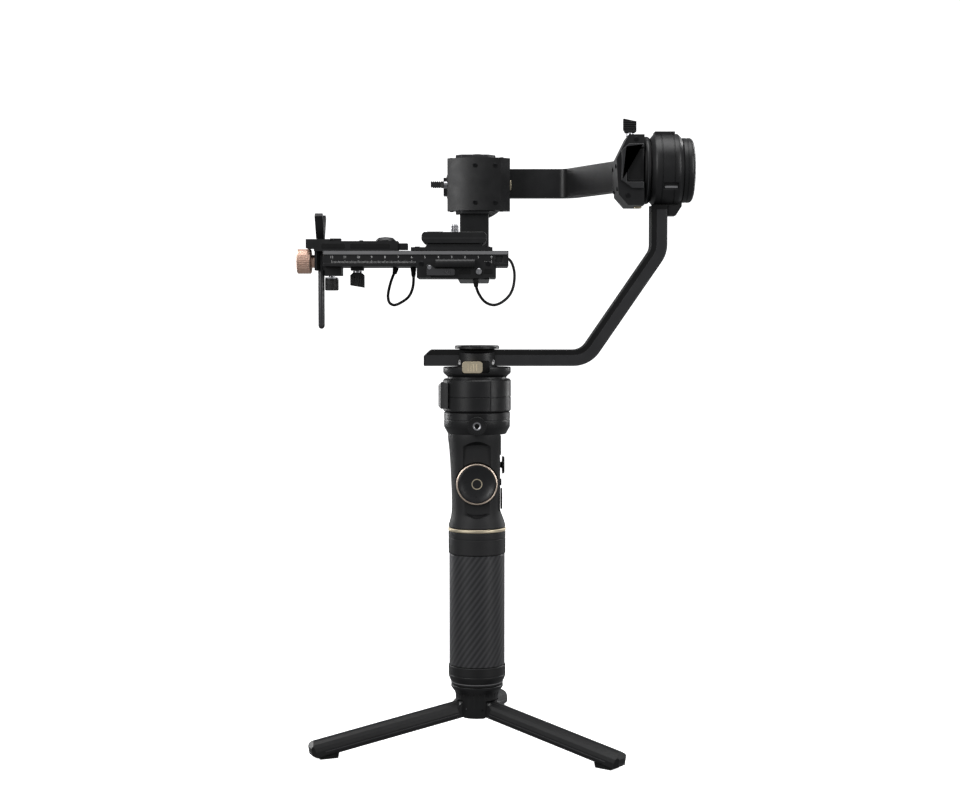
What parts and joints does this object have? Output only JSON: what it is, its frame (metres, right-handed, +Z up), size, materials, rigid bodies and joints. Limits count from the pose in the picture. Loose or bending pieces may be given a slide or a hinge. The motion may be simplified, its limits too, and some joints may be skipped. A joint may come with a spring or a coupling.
{
  "type": "gimbal stabilizer",
  "caption": "Handheld three-axis camera stabilizer on a folding mini tripod, with bent motor arms, a graduated camera rail and a lens support.",
  "frame": {"origin": "on the floor, under the middle of the gimbal's bounding box as it stands with its legs open", "axes": "+Z up, along the pan axis; the lens looks along -X; the tilt motor is on the +Y side"},
  "size_m": [0.3032, 0.274, 0.48],
  "materials": {
    "anodised_black": "satin",
    "charcoal_plastic": "satin",
    "black_plastic": "satin",
    "carbon_tube": "satin",
    "pale_gold": "satin",
    "peach_gold": "satin",
    "rubber_black": "matte",
    "steel": "satin",
    "winding": "satin",
    "cell_wrap": "satin",
    "circuit_board": "matte",
    "display_glass": "gloss"
  },
  "bodies": {
    "grip": {"tripod_hub": "black_plastic", "grip_end_ring": "black_plastic", "grip_tube": "carbon_tube", "battery_cell_1": "cell_wrap", "battery_cell_2": "cell_wrap", "battery_cell_3": "cell_wrap", "grip_collar": "charcoal_plastic", "trim_ring": "pale_gold", "control_housing": "charcoal_plastic", "control_board": "circuit_board", "display_window": "display_glass", "accessory_collar": "anodised_black", "pan_motor_housing": "anodised_black", "pan_stator": "winding"},
    "leg_1": {"tripod_leg_1": "black_plastic", "tripod_foot_1": "rubber_black"},
    "leg_2": {"tripod_leg_2": "black_plastic", "tripod_foot_2": "rubber_black"},
    "leg_3": {"tripod_leg_3": "black_plastic", "tripod_foot_3": "rubber_black"},
    "focus_wheel": {"focus_wheel_rim": "pale_gold", "focus_wheel_dish": "anodised_black"},
    "joystick_cradle": {"joystick_cradle": "black_plastic"},
    "joystick": {"joystick": "rubber_black"},
    "menu_pad": {"menu_pad": "black_plastic"},
    "mode_button": {"mode_button": "black_plastic"},
    "pan_rotor": {"pan_rotor_clamp": "anodised_black", "pan_clamp_cap": "anodised_black"},
    "pan_lock": {"pan_lock_slider": "pale_gold"},
    "pan_arm": {"pan_arm": "anodised_black", "roll_motor_housing": "anodised_black", "roll_motor_cap": "anodised_black", "roll_stator": "winding"},
    "roll_rotor": {"roll_rotor": "anodised_black", "roll_clamp": "anodised_black"},
    "roll_screw": {"roll_thumb_screw": "black_plastic"},
    "roll_lock": {"roll_lock_slider": "pale_gold"},
    "roll_arm": {"roll_arm": "anodised_black", "tilt_motor_housing": "anodised_black", "tilt_motor_cap": "anodised_black", "tilt_stator": "winding"},
    "tilt_rotor": {"tilt_rotor": "anodised_black", "tilt_clamp": "anodised_black"},
    "tilt_screw": {"tilt_thumb_screw": "black_plastic"},
    "tilt_lock": {"tilt_lock_slider": "pale_gold"},
    "tilt_arm": {"tilt_arm": "anodised_black"},
    "base": {"base_clamp": "anodised_black", "rear_lead": "rubber_black"},
    "base_lever": {"base_lever": "anodised_black"},
    "safety_button": {"safety_button": "steel"},
    "rail": {"camera_rail": "anodised_black", "plate_riser": "anodised_black", "front_lead": "rubber_black"},
    "camera_plate": {"camera_plate": "anodised_black"},
    "camera_screw": {"camera_screw": "steel"},
    "lens_support": {"support_bracket": "anodised_black"},
    "support_knob": {"support_knob": "black_plastic"},
    "support_wing": {"support_wing_screw": "black_plastic"},
    "lens_rod": {"lens_rod": "anodised_black"},
    "rod_knob": {"rod_knob": "peach_gold"}
  },
  "joints": [
    {"name": "leg_1_fold", "type": "hinge", "parent": "grip", "child": "leg_1", "pos_m": [-0.02528, -0.0545, 0.0286], "axis": [0.3746, -0.9272, 0], "range_deg": [0, 79]},
    {"name": "leg_2_fold", "type": "hinge", "parent": "grip", "child": "leg_2", "pos_m": [-0.00469, -0.05739, 0.0286], "axis": [0.6157, 0.788, 0], "range_deg": [0, 79]},
    {"name": "leg_3_fold", "type": "hinge", "parent": "grip", "child": "leg_3", "pos_m": [-0.01248, -0.03812, 0.0286], "axis": [-0.9903, 0.1392, 0], "range_deg": [0, 79]},
    {"name": "focus_wheel_turn", "type": "hinge", "parent": "grip", "child": "focus_wheel", "pos_m": [-0.01415, -0.05, 0.2024], "axis": [0, -1, 0], "continuous": true},
    {"name": "joystick_up_down", "type": "hinge", "parent": "grip", "child": "joystick_cradle", "pos_m": [-0.00115, -0.05, 0.2156], "axis": [0, 1, 0], "range_deg": [-10, 10], "stiffness_Nm_per_rad": 0.03},
    {"name": "joystick_left_right", "type": "hinge", "parent": "joystick_cradle", "child": "joystick", "pos_m": [-0.00115, -0.05, 0.2156], "axis": [0, 0, 1], "range_deg": [-10, 10], "stiffness_Nm_per_rad": 0.03},
    {"name": "menu_pad_press", "type": "slide", "parent": "grip", "child": "menu_pad", "axis": [-1, 0, 0], "range_m": [0, 0.0005], "stiffness_N_per_m": 2000, "springref_m": -0.0002},
    {"name": "mode_button_press", "type": "slide", "parent": "grip", "child": "mode_button", "axis": [-1, 0, 0], "range_m": [0, 0.0004], "stiffness_N_per_m": 2000, "springref_m": -0.0002},
    {"name": "pan", "type": "hinge", "parent": "grip", "child": "pan_rotor", "pos_m": [-0.01415, -0.05, 0.2696], "axis": [0, 0, 1], "continuous": true},
    {"name": "pan_lock_slide", "type": "slide", "parent": "pan_rotor", "child": "pan_lock", "axis": [1, 0, 0], "range_m": [0, 0.005]},
    {"name": "pan_arm_slide", "type": "slide", "parent": "pan_rotor", "child": "pan_arm", "axis": [1, 0, 0], "range_m": [-0.03, 0.02]},
    {"name": "roll", "type": "hinge", "parent": "pan_arm", "child": "roll_rotor", "pos_m": [0.11585, -0.05, 0.4406], "axis": [1, 0, 0], "range_deg": [-30, 225]},
    {"name": "roll_screw_turn", "type": "hinge", "parent": "roll_rotor", "child": "roll_screw", "pos_m": [0.10215, -0.05, 0.4706], "axis": [0, 0, 1], "range_deg": [0, 270]},
    {"name": "roll_lock_slide", "type": "slide", "parent": "roll_rotor", "child": "roll_lock", "axis": [0, 1, 0], "range_m": [0, 0.005]},
    {"name": "roll_arm_slide", "type": "slide", "parent": "roll_rotor", "child": "roll_arm", "axis": [0, 1, 0], "range_m": [-0.025, 0.015]},
    {"name": "tilt", "type": "hinge", "parent": "roll_arm", "child": "tilt_rotor", "pos_m": [-0.01415, 0.1, 0.4406], "axis": [0, 1, 0], "range_deg": [-20, 90]},
    {"name": "tilt_screw_turn", "type": "hinge", "parent": "tilt_rotor", "child": "tilt_screw", "pos_m": [-0.04415, 0.0875, 0.4406], "axis": [-1, 0, 0], "range_deg": [0, 270]},
    {"name": "tilt_lock_slide", "type": "slide", "parent": "tilt_rotor", "child": "tilt_lock", "axis": [0, 0, -1], "range_m": [0, 0.005]},
    {"name": "tilt_arm_slide", "type": "slide", "parent": "tilt_rotor", "child": "tilt_arm", "axis": [0, 0, 1], "range_m": [-0.02, 0.03]},
    {"name": "base_slide", "type": "slide", "parent": "tilt_arm", "child": "base", "axis": [0, 1, 0], "range_m": [-0.02, 0]},
    {"name": "base_lever_turn", "type": "hinge", "parent": "base", "child": "base_lever", "pos_m": [-0.05035, -0.0818, 0.3641], "axis": [0, 0, -1], "range_deg": [0, 90]},
    {"name": "safety_button_press", "type": "slide", "parent": "base", "child": "safety_button", "axis": [0, 1, 0], "range_m": [0, 0.0012], "stiffness_N_per_m": 1000, "springref_m": -0.0005},
    {"name": "rail_slide", "type": "slide", "parent": "base", "child": "rail", "axis": [1, 0, 0], "range_m": [-0.025, 0.001]},
    {"name": "camera_plate_slide", "type": "slide", "parent": "rail", "child": "camera_plate", "axis": [1, 0, 0], "range_m": [-0.01, 0.015]},
    {"name": "camera_screw_turn", "type": "hinge", "parent": "camera_plate", "child": "camera_screw", "pos_m": [-0.03115, -0.05, 0.3856], "axis": [0, 0, 1], "range_deg": [0, 360]},
    {"name": "lens_support_slide", "type": "slide", "parent": "rail", "child": "lens_support", "axis": [1, 0, 0], "range_m": [-0.02, 0]},
    {"name": "support_knob_turn", "type": "hinge", "parent": "lens_support", "child": "support_knob", "pos_m": [-0.12515, -0.05, 0.3536], "axis": [0, 0, 1], "range_deg": [0, 270]},
    {"name": "support_wing_turn", "type": "hinge", "parent": "lens_support", "child": "support_wing", "pos_m": [-0.10555, -0.05, 0.3566], "axis": [0, 0, 1], "range_deg": [0, 270]},
    {"name": "lens_rod_slide", "type": "slide", "parent": "lens_support", "child": "lens_rod", "axis": [0, 0, 1], "range_m": [0, 0.03]},
    {"name": "rod_knob_turn", "type": "hinge", "parent": "lens_support", "child": "rod_knob", "pos_m": [-0.14515, -0.05, 0.3715], "axis": [-1, 0, 0], "range_deg": [0, 270]}
  ]
}
